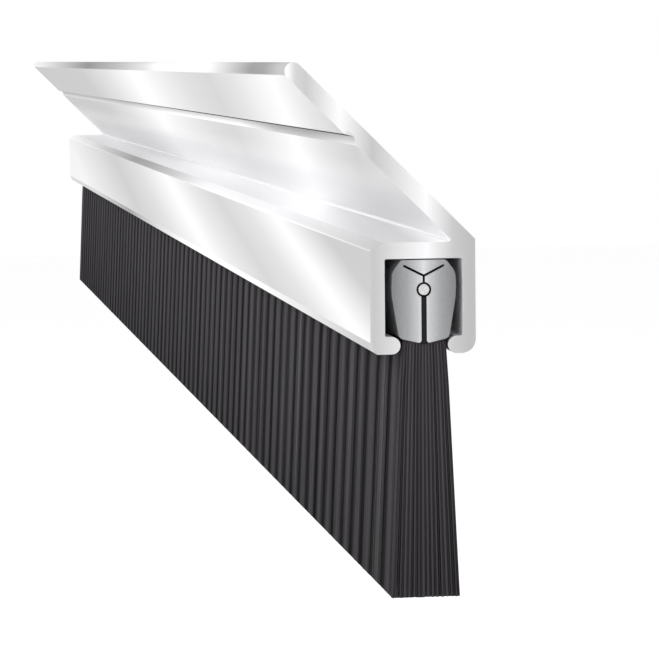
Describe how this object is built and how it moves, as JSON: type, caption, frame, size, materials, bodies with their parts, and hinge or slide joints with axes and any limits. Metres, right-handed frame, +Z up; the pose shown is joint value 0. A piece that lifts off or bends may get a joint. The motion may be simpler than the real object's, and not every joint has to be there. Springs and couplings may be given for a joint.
{
  "type": "brush seal strip",
  "caption": "Aluminium angle holder with a 45 degree fixing flange that carries a slide-in brush to seal the gap round a door.",
  "frame": {"origin": "on the flange's outer face, behind the drilling line in its inner face and half way along the strip", "axes": "+X along the strip, +Y to the strip's back, +Z up; the filaments point down, along -Z"},
  "size_m": [1, 0.037, 0.1049],
  "materials": {
    "holder": "plain mill finish, brushed along the extrusion",
    "backing_channel": "galvanised",
    "core_wire": "bright drawn",
    "filaments": "charcoal filaments with a soft sheen"
  },
  "bodies": {
    "holder": {"holder": "holder"},
    "brush": {"backing_channel": "backing_channel", "core_wire": "core_wire", "filaments": "filaments"}
  },
  "joints": [
    {"name": "brush_slide", "type": "slide", "parent": "holder", "child": "brush", "axis": [1, 0, 0], "range_m": [-1, 1]}
  ]
}
